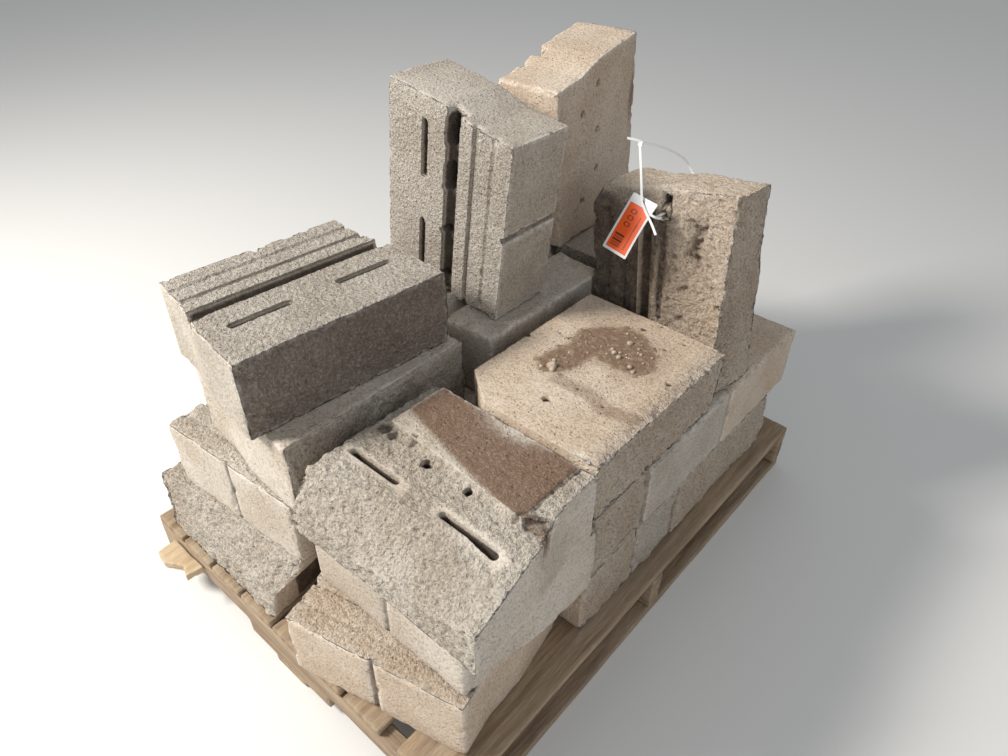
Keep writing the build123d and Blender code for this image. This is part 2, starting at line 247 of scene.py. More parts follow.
def weathered_concrete_tree():
    tree, given, result = wear_group("Weathered concrete", [
        ("Split Way", "Vector", (0, -1, 0)),
        ("Split Depth", "Float", 0.011),
        ("Lump Size", "Float", 0.045),
        ("Crumb Depth", "Float", 0.0028),
        ("Crumb Size", "Float", 0.011),
        ("Chip Depth", "Float", 0.0065),
        ("Chip Reach", "Float", 0.012),
        ("Dig Depth", "Float", 0.008),
    ])
    place = shifted_place(tree, given["Seed"])
    masks = {}
    for label in ("split", "pitted", "firm", "dig"):
        node = place_node(tree, "GeometryNodeInputNamedAttribute", {"Name": label}, data_type="FLOAT")
        masks[label] = node[0]

    ratio = calculate(tree, "DIVIDE", edge_distance(tree, given["CAD Solid"]), given["Chip Reach"])
    edge = steps(tree, ratio, 1.0, 0.0)
    loose = times_plus(tree, masks["firm"], -0.9, 1.0)
    edge = times(tree, edge, loose)

    lumps = steps(tree, noise(tree, place, given["Lump Size"], 5.0, 0.6), 0.32, 0.68)
    distance, chance = cells(tree, place, 0.015)
    stones = times(tree, chance, steps(tree, distance, 0.85, 0.25))
    crumbs = steps(tree, noise(tree, place, given["Crumb Size"], 3.0, 0.6), 0.36, 0.62)
    broken = times_plus(tree, lumps, 0.5, times(tree, stones, 0.25))
    broken = times_plus(tree, crumbs, 0.25, broken)
    broken = times(tree, broken, masks["split"])
    back = times(tree, broken, given["Split Depth"])

    distance, chance = cells(tree, place, 0.013)
    craters = times(tree, steps(tree, distance, 0.5, 0.1), steps(tree, chance, 0.5, 0.7))
    pits = times_plus(tree, crumbs, 0.6, times(tree, craters, 0.5))
    pits = times(tree, pits, masks["pitted"])
    sunk = times(tree, pits, given["Crumb Depth"])

    bites = steps(tree, noise(tree, place, 0.035, 4.0), 0.5, 0.66)
    chips = times(tree, edge, times_plus(tree, bites, 0.8, 0.2))
    chips = times(tree, chips, given["Chip Depth"])
    dug = times(tree, masks["dig"], times_plus(tree, crumbs, 0.5, 0.5))
    dug = times(tree, dug, given["Dig Depth"])
    skin = times_plus(tree, noise(tree, place, 0.02), 0.0007, 0.0003)
    inwards = calculate(tree, "ADD", calculate(tree, "ADD", sunk, chips), calculate(tree, "ADD", dug, skin))

    normal = place_node(tree, "GeometryNodeInputNormal")[0]
    by_normal = scaled(tree, normal, inwards)
    by_split = scaled(tree, given["Split Way"], back)
    total = place_node(tree, "ShaderNodeVectorMath", {0: by_normal, 1: by_split}, operation="ADD")[0]
    depth = calculate(tree, "ADD", broken, calculate(tree, "MAXIMUM", pits, masks["dig"]))
    grain = calculate(tree, "MAXIMUM", masks["split"], masks["pitted"])
    shape = given["Geometry"]
    for label, value in (("depth", depth), ("edge", edge), ("grain", grain)):
        shape = store(tree, shape, label, value)
    inputs = {"Geometry": shape, "Offset": scaled(tree, total, -1.0)}
    shape = place_node(tree, "GeometryNodeSetPosition", inputs)[0]
    finish_tree(tree, given, result, shape)
    return tree


concrete_wear = weathered_concrete_tree()


def set_inputs(modifier, values):
    """Sets a modifier's inputs by their names."""
    for item in modifier.node_group.interface.items_tree:
        if item.item_type == "SOCKET" and item.in_out == "INPUT" and item.name in values:
            modifier[item.identifier] = values[item.name]


def link_shell(name, shell, finishes):
    """Makes a piece of a mesh that was built point by point. Points that no face uses are dropped."""
    unused = [point for point in shell.verts if not point.link_faces]
    bmesh.ops.delete(shell, geom=unused, context="VERTS")
    mesh = bpy.data.meshes.new(name)
    shell.to_mesh(mesh)
    shell.free()
    for finish in finishes:
        mesh.materials.append(finish)
    return link_new(name, mesh)


def bake(piece):
    """Turns the piece with its modifiers into a plain mesh."""
    depsgraph = bpy.context.evaluated_depsgraph_get()
    depsgraph.update()
    made = bpy.data.meshes.new_from_object(piece.evaluated_get(depsgraph))
    old = piece.data
    piece.modifiers.clear()
    piece.data = made
    bpy.data.meshes.remove(old)


def fine_copy(node, voxel, axes=None):
    """A copy of a CAD solid with an even grid of small faces, square to the axes of a turned block."""
    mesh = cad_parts[node].data.copy()
    mesh.materials.clear()
    if axes:
        mesh.transform(axes)
    shell = bmesh.new()
    shell.from_mesh(mesh)
    bmesh.ops.remove_doubles(shell, verts=shell.verts, dist=weld_distance)
    shell.to_mesh(mesh)
    shell.free()
    piece = link_new(node + "_worn", mesh)
    grid = piece.modifiers.new("even grid", "REMESH")
    grid.mode = "VOXEL"
    grid.voxel_size = voxel
    bake(piece)
    if axes:
        piece.data.transform(axes.inverted())
    return piece


def hand_over(piece, node=None):
    """Says what a piece rides on and hides the CAD node it takes the place of."""
    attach(piece, "root")
    if node:
        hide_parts(node)


def wear_down(piece, node, wear_tree, values, keep):
    """Runs a wear tree on a piece, keeps a share of its faces and puts it in the place of the CAD node."""
    wear = piece.modifiers.new("wear", "NODES")
    wear.node_group = wear_tree
    set_inputs(wear, {"CAD Solid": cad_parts[node], **values})
    thin = piece.modifiers.new("fewer faces", "DECIMATE")
    thin.ratio = keep
    bake(piece)
    piece.data.shade_smooth()
    hand_over(piece, node)


def read_points(mesh, what="co"):
    """The places of a mesh's points, or their normals, as rows."""
    found = np.zeros(len(mesh.vertices) * 3)
    mesh.vertices.foreach_get(what, found)
    return found.reshape(-1, 3)


def write_mask(mesh, label, values):
    attribute = mesh.attributes.get(label) or mesh.attributes.new(label, "FLOAT", "POINT")
    attribute.data.foreach_set("value", np.clip(values, 0, 1).astype(np.float32))


def ramp(values, low, high):
    """0 to 1 and smooth, for arrays."""
    t = np.clip((values - low) / (high - low), 0, 1)
    return t * t * (3 - 2 * t)


# %% [markdown]
# ## The concrete itself
# Cast concrete is a pale paste around sand and small stones. Smooth paste is even and warm, and where it
# is broken the stones show as grains. Rain leaves a grey bloom and edges wear pale. Light and shade are
# painted into the colour too: hollows and low grains are painted darker, high grains paler, and faces
# turned to the right, grooves, cracks and cavities get painted shade. One group makes the colour and the
# height of all of it. Each material sets its own colours, because blocks on one pallet come from several
# batches.

# %% Shader group for concrete
def mixed(tree, share, first, second):
    """Mixes two colours. Each is a colour or another node's output."""
    return place_node(tree, "ShaderNodeMix", {0: share, 6: first, 7: second}, data_type="RGBA")[2]


def look_group(name, colours, masks):
    """A shader group that makes a colour, a roughness and a height of a place, colours and masks."""
    takes = [("Position", "Vector", None)] + [(label, "Color", None) for label in colours]
    takes += [(label, "Float", 0.0) for label in masks]
    gives = [("Color", "Color"), ("Roughness", "Float"), ("Height", "Float")]
    return new_tree(name, "ShaderNodeTree", takes, gives)


# The third colour is the dark one of mottles and of painted shade in hollows and on low grains; the fourth
# is the colour of stains and of painted shade.
concrete_colours = ("Paste", "Bloom", "Mottle_And_Shade", "Earth_And_Shade")
# The fourth mask lays stains and painted shade; the fifth a near-black painted shade in grooves, slots,
# cracks and cavities, with some dirt.
concrete_masks = ("Grain", "Edge", "Depth", "Stain_And_Shade", "Shade_And_Grime")


def concrete_group():
    tree, given, result = look_group("Concrete", concrete_colours, concrete_masks)
    place = given["Position"]
    # A pale tone for painted highlights on high grains and for worn edges.
    highlight_and_wear_tone = (0.82, 0.76, 0.68, 1)
    # A near-black colour for painted shade in grooves, slots, cracks and cavities, with some dirt.
    shade_and_grime_colour = (0.07, 0.052, 0.042, 1)

    def share(value, per_grain, always):
        """Scales a share by how rough the face is."""
        return times(tree, value, times_plus(tree, given["Grain"], per_grain, always))

    def laid_on(colour, mask, size, strength, ink, raggedness):
        """Lays a colour with a ragged rim, for stains and for painted shade."""
        ragged = noise(tree, place, size, 6.0, 0.75)
        ragged = times_plus(tree, ragged, raggedness, -raggedness / 2)
        spread = steps(tree, calculate(tree, "ADD", mask, ragged), 0.2, 0.85)
        laid = times(tree, spread, steps(tree, mask, 0.02, 0.2))
        return mixed(tree, times(tree, laid, strength), colour, ink)

    clouds = steps(tree, noise(tree, place, 0.13, 4.0, 0.55), 0.36, 0.66)
    colour = mixed(tree, clouds, given["Paste"], given["Bloom"])
    mottles = steps(tree, noise(tree, place, 0.03, 6.0, 0.7), 0.5, 0.75)
    colour = mixed(tree, times(tree, mottles, 0.05), colour, given["Mottle_And_Shade"])
    # Real stains, and painted shade on faces turned to the right and on a broken face in shade, in the
    # earth colour.
    colour = laid_on(colour, given["Stain_And_Shade"], 0.02, 0.92, given["Earth_And_Shade"], 0.2)
    # Painted light and shade on the sand relief, whose noise is also the height: low grains are painted
    # darker and high grains paler.
    sand = noise(tree, place, 0.0046, 3.0, 0.8)
    shaded_sand = steps(tree, sand, 0.51, 0.38)
    lit_sand = steps(tree, sand, 0.5, 0.64)
    colour = mixed(tree, share(shaded_sand, 0.06, 0.4), colour, given["Mottle_And_Shade"])
    clean = calculate(tree, "MULTIPLY_ADD", given["Stain_And_Shade"], -0.75, 1.0, clamp=True)
    colour = mixed(tree, times(tree, share(lit_sand, 0.16, 0.28), clean), colour, highlight_and_wear_tone)
    grit = noise(tree, place, 0.012, 3.0, 0.65)
    # Low places of the grit relief are painted a little darker, as shade.
    colour = mixed(tree, share(steps(tree, grit, 0.46, 0.34), 0.04, 0.0), colour, given["Mottle_And_Shade"])
    # Pinholes are painted dark, as shade inside them, and sunk in the height.
    gap, chance = cells(tree, place, 0.0085)
    pin = times(tree, steps(tree, gap, 0.34, 0.14), steps(tree, chance, 0.55, 0.62))
    pinholes = share(pin, 0.1, 0.12)
    colour = mixed(tree, pinholes, colour, given["Mottle_And_Shade"])
    # Painted shade: deep breaks, pits and dug places are darker.
    hollow_shade = times(tree, steps(tree, given["Depth"], 0.5, 1.1), 0.15)
    colour = mixed(tree, hollow_shade, colour, given["Mottle_And_Shade"])
    worn = times(tree, given["Edge"], steps(tree, noise(tree, place, 0.012, 4.0), 0.35, 0.62))
    colour = mixed(tree, times(tree, worn, 0.6), colour, highlight_and_wear_tone)

    # Lays the near-black painted shade, with some dirt, where the fifth mask asks for it.
    colour = laid_on(colour, given["Shade_And_Grime"], 0.03, 0.93, shade_and_grime_colour, 0.6)
    tree.links.new(colour, result["Color"])
    tree.links.new(times_plus(tree, shaded_sand, 0.1, 0.86), result["Roughness"])
    height = calculate(tree, "ADD", share(sand, 1.3, 0.6), share(grit, 2.0, 0.1))
    height = calculate(tree, "SUBTRACT", height, times(tree, pinholes, 3.0))
    tree.links.new(height, result["Height"])
    return tree


concrete_look = concrete_group()


def new_finish(name, specular=0.5):
    """A material, its tree, its shader's inputs and the place on the object."""
    finish = bpy.data.materials.new(name)
    finish.use_nodes = True
    tree = finish.node_tree
    shader = tree.nodes["Principled BSDF"].inputs
    shader["Specular IOR Level"].default_value = specular
    return finish, tree, shader, place_node(tree, "ShaderNodeTexCoord")["Object"]


def add_bump(tree, shader, height, strength, distance):
    inputs = {"Height": height, "Strength": strength, "Distance": distance}
    tree.links.new(place_node(tree, "ShaderNodeBump", inputs)["Normal"], shader["Normal"])


def group_finish(name, group, colours, masks, strength, distance, stretch=None):
    """A material made by a group. With stretch the group sees the place shrunk along each axis."""
    finish, tree, shader, place = new_finish(name, 0.25)
    look = tree.nodes.new("ShaderNodeGroup")
    look.node_tree = group
    if stretch:
        scale = [1 / value for value in stretch]
        place = place_node(tree, "ShaderNodeMapping", {"Vector": place, "Scale": scale})[0]
    tree.links.new(place, look.inputs["Position"])
    for label, value in colours.items():
        look.inputs[label].default_value = (*value, 1)
    for label in masks:
        mask = place_node(tree, "ShaderNodeAttribute", attribute_name=label.lower())["Fac"]
        tree.links.new(mask, look.inputs[label])
    tree.links.new(look.outputs["Color"], shader["Base Color"])
    tree.links.new(look.outputs["Roughness"], shader["Roughness"])
    add_bump(tree, shader, look.outputs["Height"], strength, distance)
    return finish


# Each batch gives paste, bloom, a dark colour for mottles and painted shade, and a colour for stains and
# painted shade.
batches = {
    "pale": ((0.54, 0.463, 0.375), (0.66, 0.595, 0.51), (0.15, 0.118, 0.092), (0.175, 0.094, 0.054)),
    "tan": ((0.58, 0.455, 0.34), (0.68, 0.565, 0.45), (0.16, 0.115, 0.082), (0.2, 0.12, 0.075)),
    "grey": ((0.45, 0.395, 0.33), (0.565, 0.51, 0.44), (0.15, 0.125, 0.1), (0.14, 0.085, 0.055)),
}
finishes = {}
for batch, tones in batches.items():
    colours = dict(zip(concrete_colours, tones))
    finishes[batch] = group_finish(batch + " concrete", concrete_look, colours, concrete_masks, 1.0, 0.0042)

# %% [markdown]
# ## The blocks
# The middle of a block's body and the way its broken face looks say, for each point of its skin, how far
# it lies behind that face and whether it is on the pitted, grooved face. The masks are written on the
# mesh before the wear tree runs.

# %% Blocks and their places
block_width = 0.406
block_depth = 0.305
block_height = 0.152
side_depths = [0, 0.14, 0.222, 0.305]                # from the broken face back, where the sides draw in
side_half_widths = [0.203, 0.197, 0.18, 0.178]
lean = math.radians(6.568)
upward = (0, 0, 1)
downward = (0, 0, -1)


def turned(angle, way=(0, -1, 0)):
    """A direction turned about the upright."""
    return Matrix.Rotation(math.radians(angle), 3, "Z") @ Vector(way)


def leaning(way):
    """The way of the broken face of a block that stands on its side. Its drawn-in back makes it lean."""
    level = Vector(way) * math.cos(lean)
    return level + Vector((0, 0, math.sin(lean)))


def route_distance(flat, starts, ends):
    """How far flat points are from the nearest of some straight stretches."""
    nearest = np.full(len(flat), np.inf)
    for start, end in zip(starts, ends):
        along = end - start
        t = np.clip(((flat - start) @ along) / (along @ along), 0, 1)
        nearest = np.minimum(nearest, np.linalg.norm(flat - start - t[:, None] * along, axis=1))
    return nearest


def patch(points, outline, soft, axes=(0, 1)):
    """1 inside an outline, 0 outside, with a soft rim. axes are the two directions it is drawn in."""
    flat = points[:, axes]
    starts = np.array(outline)
    ends = np.roll(starts, -1, axis=0)
    inside = np.zeros(len(flat), dtype=bool)
    for start, end in zip(starts, ends):
        rises = (start[1] > flat[:, 1]) != (end[1] > flat[:, 1])
        slope = (end[0] - start[0]) / (end[1] - start[1] if end[1] != start[1] else 1e-9)
        inside ^= rises & (flat[:, 0] < start[0] + slope * (flat[:, 1] - start[1]))
    nearest = route_distance(flat, starts, ends)
    return ramp(np.where(inside, nearest, -nearest), -soft, soft)


def spots(points, places, axes=(0, 1)):
    """Round spots. Each place is two coordinates and a radius."""
    found = np.zeros(len(points))
    for u, v, radius in places:
        distance = np.hypot(points[:, axes[0]] - u, points[:, axes[1]] - v)
        found = np.maximum(found, 1 - ramp(distance, radius * 0.6, radius * 1.3))
    return found


def line(points, route, width, axes=(0, 1)):
    """A crack along a route."""
    stops = np.array(route)
    return 1 - ramp(route_distance(points[:, axes], stops[:-1], stops[1:]), width * 0.3, width)


def blob(points, middle, reach, axes=(0, 1)):
    """A soft patch that reaches a different way along each of its two directions."""
    return np.exp(-(((points[:, axes] - middle) / reach) ** 2).sum(axis=1))


def darkest(*masks):
    """The highest of several masks at each point."""
    return np.maximum.reduce(masks)


def add_to(found, label, mask):
    """Raises one of a block's masks to another where that is higher."""
    found[label] = np.maximum(found[label], mask)


def facing_right(normals):
    return ramp(normals[:, 0], 0.5, 0.9)


def block_masks(points, normals, place, split_way, face_way):
    """Where a block is broken, pitted, firm or dug out, and where it is painted darker as shade: on faces
    turned to the right, deep in a groove and in the back's splitting notch.
    """
    out = np.array(split_way)
    face = np.array(face_way)
    local = points - np.array(place)
    reach = local @ out
    across = local @ np.cross(out, face)
    level = block_height / 2 - np.abs(local @ face)
    half_width = np.interp(block_depth / 2 - reach, side_depths, side_half_widths)
    inset = np.minimum(block_depth / 2 - np.abs(reach), half_width - np.abs(across))
    split = ramp(reach - block_depth / 2, -0.03, -0.004) * (0.25 + 0.75 * ramp(normals @ out, 0.1, 0.6))
    inner = ramp(level, 0.003, 0.012) * ramp(inset, 0.004, 0.012)
    notch = ramp(-reach, block_depth / 2 - 0.011, block_depth / 2 - 0.006)
    notch = notch * ramp(-np.abs(across), -0.007, -0.003)
    return {
        "split": split,
        "pitted": ramp(normals @ face, 0.2, 0.7) * (1 - inner),
        "firm": ramp(inset, 0.012, 0.03),
        "dig": np.zeros(len(points)),
        # Painted shade: faces turned to the right are darkened in the stain colour.
        "stain_and_shade": facing_right(normals) * 0.34,
        # Painted shade: points deep in a groove or in the splitting notch are darkened near black.
        "shade_and_grime": np.maximum(inner * 0.75, notch * 0.6),
    }


def make_block(node, place, split_way, face_way, voxel, finish, keep, masks=None, plain=False, **wear):
    """Dresses one block. A masks function may change the masks, and plain leaves its faces unpitted."""
    out = Vector(split_way)
    face = Vector(face_way)
    axes = Matrix((out, face.cross(out), face)).to_4x4()
    piece = fine_copy(node, voxel, axes)
    mesh = piece.data
    points = read_points(mesh)
    normals = read_points(mesh, "normal")
    found = block_masks(points, normals, place, split_way, face_way)
    if plain:
        found["pitted"] *= 0
        found["shade_and_grime"] *= 0
    if masks:
        masks(points, normals, found)
    for label, values in found.items():
        write_mask(mesh, label, values)
    seed = float(points.mean() * 40)
    values = {"Material": finishes[finish], "Split Way": tuple(split_way), "Seed": seed}
    values.update({label.replace("_", " ").title(): value for label, value in wear.items()})
    wear_down(piece, node, concrete_wear, values, keep)


# %% [markdown]
# ### The front block
# This one was broken when it was handled: its front is gone down to a lip, its top is rough stone, and
# only a smooth pad near its back is left of the cast face. Rain and soil have stained the pad brown, all
# but a strip along its front and a patch at its back, and a crack runs down its right side.

# %% Front block
slot_width = 0.022
slot_routes = [[(0.1, -0.459), (0.219, -0.459)], [(0.293, -0.456), (0.412, -0.456)]]
rubble_spots = [(0.07, -0.383, 0.012), (0.1, -0.386, 0.014), (0.123, -0.388, 0.01), (0.163, -0.378, 0.009)]
crack_width = 0.006
crack_route = [(0.391, -0.396), (0.404, -0.37), (0.402, -0.33), (0.405, -0.256)]
crack_branch = [(0.404, -0.372), (0.43, -0.378), (0.462, -0.392)]
notch_spots = [(0.412, -0.385, 0.012), (0.43, -0.38, 0.014), (0.448, -0.388, 0.012)]
strip_left_edge = (0.11, -0.341)         # where the pad's pale front strip ends, at its left
strip_slope = 0.239
spared_middle = (0.27, -0.256)           # the patch at the pad's back that stayed pale
spared_reach = (0.055, 0.022)


def front_block_masks(points, normals, found):
    x, y, z = points.T
    top = ramp(normals[:, 2], 0.1, 0.5)
    pad = ramp(z, 0.573, 0.578) * ramp(-x, -0.404, -0.4)
    front = ramp(-normals[:, 1], 0.2, 0.8)
    left = ramp(-normals[:, 0], 0.4, 0.8)
    slots = darkest(*[line(points, route, slot_width) for route in slot_routes])
    found["pitted"] = darkest(top, front, left * 0.8) * (1 - 0.75 * pad) * (1 - slots)
    found["split"] = np.zeros(len(points))
    inner = ramp(-z, -0.562, -0.552) * ramp(y, -0.475, -0.468) * ramp(-y, 0.38, 0.392) * ramp(x, 0.09, 0.1)
    inner = inner * ramp(-x, -0.422, -0.412) * (1 - ramp(np.abs(normals[:, 2]), 0.75, 0.95))
    found["firm"] = np.where(z > 0.54, found["firm"], 0)
    strip_edge = strip_left_edge[1] - (x - strip_left_edge[0]) * strip_slope
    stained = ramp(y - strip_edge, -0.008, 0.014) * ramp(x, 0.1, 0.118)
    spared = blob(points, spared_middle, spared_reach)
    rubble = spots(points, rubble_spots) * top
    crack = darkest(line(points, crack_route, crack_width), line(points, crack_branch, crack_width))
    crack *= ramp(z, 0.52, 0.56)
    notch = spots(points, notch_spots) * ramp(z, 0.5, 0.55)
    found["dig"] = darkest(crack * 0.5, notch * 0.5, rubble * 0.4)
    # Painted shade darkens the slot walls and the crack; the rubble spots are darker as well.
    found["shade_and_grime"] = darkest(inner * 0.95, crack * 0.6, rubble * 0.7)
    add_to(found, "stain_and_shade", pad * top * (0.2 + 0.6 * stained * (1 - spared)))
    add_to(found, "stain_and_shade", notch * 0.7)


make_block(
    "layer_3_front_block", (0.256, -0.4, 0.507), turned(0), upward, 0.003, "pale", 0.9, front_block_masks,
    crumb_depth=0.0068, crumb_size=0.013, chip_depth=0.004, chip_reach=0.01, dig_depth=0.007,
)

# %% [markdown]
# ### The dirty block
# The block behind it lies with its smooth side up. Soil has dried on it in a patch with small stones, and
# its right edge has crumbled. One outline places both the stain and the soil itself.

# %% Dirty block
dirty_top = 0.583
soil_outline = [
    (0.175, 0.045), (0.206, 0.087), (0.249, 0.112), (0.28, 0.113), (0.34, 0.071), (0.362, 0.026),
    (0.339, -0.012), (0.3, -0.02), (0.252, -0.012), (0.25, -0.06), (0.236, -0.095), (0.202, -0.11),
    (0.174, -0.087), (0.177, -0.05), (0.189, -0.005),
]
film_outline = [(0.15, 0.1), (0.25, 0.15), (0.37, 0.12), (0.4, 0.0), (0.33, -0.06), (0.2, -0.13)]
streak_route = [(0.24, -0.107), (0.31, -0.105), (0.355, -0.122), (0.4, -0.109)]
dirty_pits = [
    (0.156, 0.01, 0.004), (0.179, 0.008, 0.004), (0.269, 0.126, 0.006), (0.313, 0.0, 0.006),
    (0.396, 0.011, 0.006), (0.345, -0.115, 0.004), (0.354, 0.135, 0.004), (0.335, 0.096, 0.004),
    (0.244, 0.062, 0.007), (0.29, 0.158, 0.004), (0.231, 0.045, 0.005), (0.285, -0.105, 0.003),
]


def dirty_block_masks(points, normals, found):
    x = points[:, 0]
    top = ramp(normals[:, 2], 0.3, 0.8)
    soil = patch(points, soil_outline, 0.016)
    streak = line(points, streak_route, 0.03)
    film = patch(points, film_outline, 0.05)
    pale = blob(points, (0.28, -0.048), (0.02, 0.018))
    dirt = darkest(soil * 0.85, streak * 0.55, film * 0.45) * (1 - 0.8 * pale)
    add_to(found, "stain_and_shade", dirt * top)
    found["dig"] = spots(points, dirty_pits) * top
    # The pits are painted dark, as shade inside them.
    add_to(found, "shade_and_grime", found["dig"] * 0.8)
    found["pitted"] = np.maximum(found["pitted"] * 0.5, top * ramp(x, 0.375, 0.42))
    add_to(found, "firm", 1 - ramp(x, 0.36, 0.39))


make_block(
    "layer_3_dirty_block", (0.267, -0.038, 0.507), turned(90), downward, 0.0032, "tan", 0.75,
    dirty_block_masks, chip_depth=0.011, chip_reach=0.022, dig_depth=0.005,
)

# %% [markdown]
# ### The tagged block
# It stands on its side with the grooved side to the viewer. The pin hole that the ties pass through has
# broken open into the groove below it and a second hollow lies beside it. Painted shade darkens these
# hollows, and a painted shadow of the standing blocks, with some old dirt, darkens the left.

# %% Tagged block
upright = (0, 2)                         # seen from the front: across and up
hollow_outline = [
    (0.278, 0.778), (0.312, 0.77), (0.308, 0.735), (0.312, 0.692), (0.284, 0.705), (0.288, 0.74),
]
throat_outline = [(0.223, 0.815), (0.237, 0.812), (0.241, 0.764), (0.226, 0.762)]
seam_route = [(0.231, 0.76), (0.237, 0.72), (0.243, 0.676), (0.252, 0.6), (0.257, 0.57)]
tagged_pits = [
    (0.289, 0.638, 0.007), (0.297, 0.646, 0.006), (0.366, 0.628, 0.005), (0.298, 0.577, 0.009),
    (0.33, 0.7, 0.005), (0.345, 0.66, 0.004), (0.27, 0.61, 0.006), (0.38, 0.76, 0.004),
    (0.262, 0.7, 0.006),
]
tagged_turn = -8.3


def tagged_block_masks(points, normals, found):
    x, y, z = points.T
    front = ramp(-normals[:, 1], 0.1, 0.5) * ramp(-y, -0.26, -0.24)
    found["pitted"] = np.maximum(front, ramp(normals[:, 2], 0.3, 0.8) * 0.45)
    hollow = patch(points, hollow_outline, 0.01, upright)
    throat = patch(points, throat_outline, 0.005, upright)
    seam = line(points, seam_route, 0.011, upright)
    pits = spots(points, tagged_pits, upright)
    found["dig"] = darkest(hollow, throat, seam * 0.6, pits * 0.5) * front
    # Painted shade inside the hollow, the throat, the seam and the pits. On the left a painted shadow of
    # the standing blocks, with some old dirt.
    dirt_and_cast_shadow = ramp(-x, -0.242, -0.226) * ramp(-z, -0.79, -0.76)
    found["shade_and_grime"] = darkest(hollow * 0.45, throat * 0.75, seam * 0.6, pits * 0.35, dirt_and_cast_shadow * 0.62) * front
    brown = ramp(-x, -0.32, -0.24) * ramp(z, 0.5, 0.6)
    add_to(found, "stain_and_shade", front * np.maximum(brown * 0.27, 0.05))


make_block(
    "tagged_block", (0.238, 0.272, 0.6253), leaning(turned(tagged_turn, (1, 0, 0))), turned(tagged_turn),
    0.003, "tan", 0.85, tagged_block_masks, crumb_depth=0.0062, crumb_size=0.011, dig_depth=0.018,
    chip_depth=0.007,
)

# %% [markdown]
# ### The other blocks
# They differ in which way they lie, in batch and in how worn they are, so one table drives one function.

# %% Blocks of the load
def lying_block_masks(points, normals, found):
    """The broken face of the block on the left faces away from the light and is painted darker, as shade.
    """
    add_to(found, "stain_and_shade", found["split"] * 0.58)


def standing_block_masks(points, normals, found):
    """The standing block is darker near its foot."""
    add_to(found, "stain_and_shade", ramp(-points[:, 2], -0.68, -0.6) * 0.3)


pin_hole_rim = 0.009
pin_holes = [(0.392, 0.822), (0.38, 0.921), (0.402, 0.732), (0.413, 0.633), (0.327, 0.87), (0.35, 0.671)]


def drilled_block_masks(points, normals, found):
    """The drilled block has a streak of rust on its right face, and painted shade darkens the rims of its
    pin holes.
    """
    side = facing_right(normals)
    rust = blob(points, (0.53, 0.86), (0.02, 0.07), (1, 2))
    add_to(found, "stain_and_shade", rust * side * 0.75)
    rims = spots(points, [(across, up, pin_hole_rim) for across, up in pin_holes], (1, 2))
    add_to(found, "shade_and_grime", rims * side * 0.85)


make_block(
    "top_lying_block", (-0.145, -0.346, 0.659), turned(85.2), upward, 0.003, "grey", 0.75,
    lying_block_masks, crumb_depth=0.0016, crumb_size=0.007,
)
make_block(
    "top_standing_block", (-0.091, 0.028, 0.7773), leaning((-1, 0, 0)), (0, -1, 0), 0.003, "grey", 0.75,
    standing_block_masks, crumb_depth=0.0018, crumb_size=0.008, chip_depth=0.006,
)
drilled_turn = 4.1
make_block(
    "top_drilled_block", (-0.132, 0.394, 0.7773), leaning(turned(drilled_turn, (0, 1, 0))),
    turned(drilled_turn, (-1, 0, 0)), 0.0032, "tan", 0.6, drilled_block_masks, chip_depth=0.006,
)
make_block(
    "layer_1_front_left", (-0.223, -0.412, 0.203), turned(7.9), upward, 0.0034, "pale", 0.75,
    crumb_depth=0.0045, crumb_size=0.013, split_depth=0.014,
)

deck_top = 0.127
pitted_grid = 0.0038                     # blocks on a coarser grid than this have plain faces

# Each row: layer, name, middle to the right and back, turn of the broken face, grid, concrete.
blocks = [
    (1, "front_right", 0.211, -0.435, 193.7, 0.0038, "tan"),
    (2, "front_left", -0.182, -0.397, 184.4, 0.0038, "pale"),
    (2, "front_right", 0.229, -0.376, 180.7, 0.0038, "pale"),
    (3, "left_front", -0.11, -0.335, 90, 0.005, "pale"),
    (3, "left_middle", -0.075, 0.081, 270, 0.005, "grey"),
    (3, "left_rear", -0.14, 0.44, 0, 0.006, "grey"),
    (1, "short_piece_right", 0.2715, -0.138, 90, 0.006, "tan"),
    (1, "short_piece_middle", -0.0355, -0.138, 270, 0.009, "tan"),
    (1, "cut_piece_right", 0.2715, 0.022, 90, 0.006, "pale"),
    (1, "cut_piece_middle", -0.0355, 0.022, 270, 0.009, "tan"),
    (1, "rear_right", 0.2715, 0.3, 90, 0.006, "tan"),
    (1, "rear_middle", -0.0355, 0.3, 0, 0.007, "tan"),
    (1, "rear_left", -0.2885, 0.3505, 0, 0.006, "pale"),
    (1, "middle_left", -0.2885, 0.0435, 0, 0.006, "grey"),
    (2, "short_piece_right", 0.2675, -0.129, 90, 0.006, "tan"),
    (2, "short_piece_middle", -0.0395, -0.129, 270, 0.009, "tan"),
    (2, "middle_right", 0.217, 0.1105, 180, 0.006, "grey"),
    (2, "middle_left", -0.191, 0.1105, 180, 0.006, "tan"),
    (2, "rear_right", 0.217, 0.4175, 180, 0.006, "tan"),
    (2, "rear_left", -0.191, 0.4175, 180, 0.006, "grey"),
]
for layer, name, right, back, angle, voxel, finish in blocks:
    place = (right, back, deck_top + (layer - 0.5) * block_height)
    plain = voxel > pitted_grid
    keep = (0.6 if layer == 3 else 0.5) if plain else 0.55
    make_block(f"layer_{layer}_{name}", place, turned(angle), upward, voxel, finish, keep, plain=plain)

# %% [markdown]
# ### Soil and pebbles
# The soil is a thin, lumpy mat on the dirty block's top that sinks under the concrete at its rim. The
# pebbles are small balls pushed out of round.

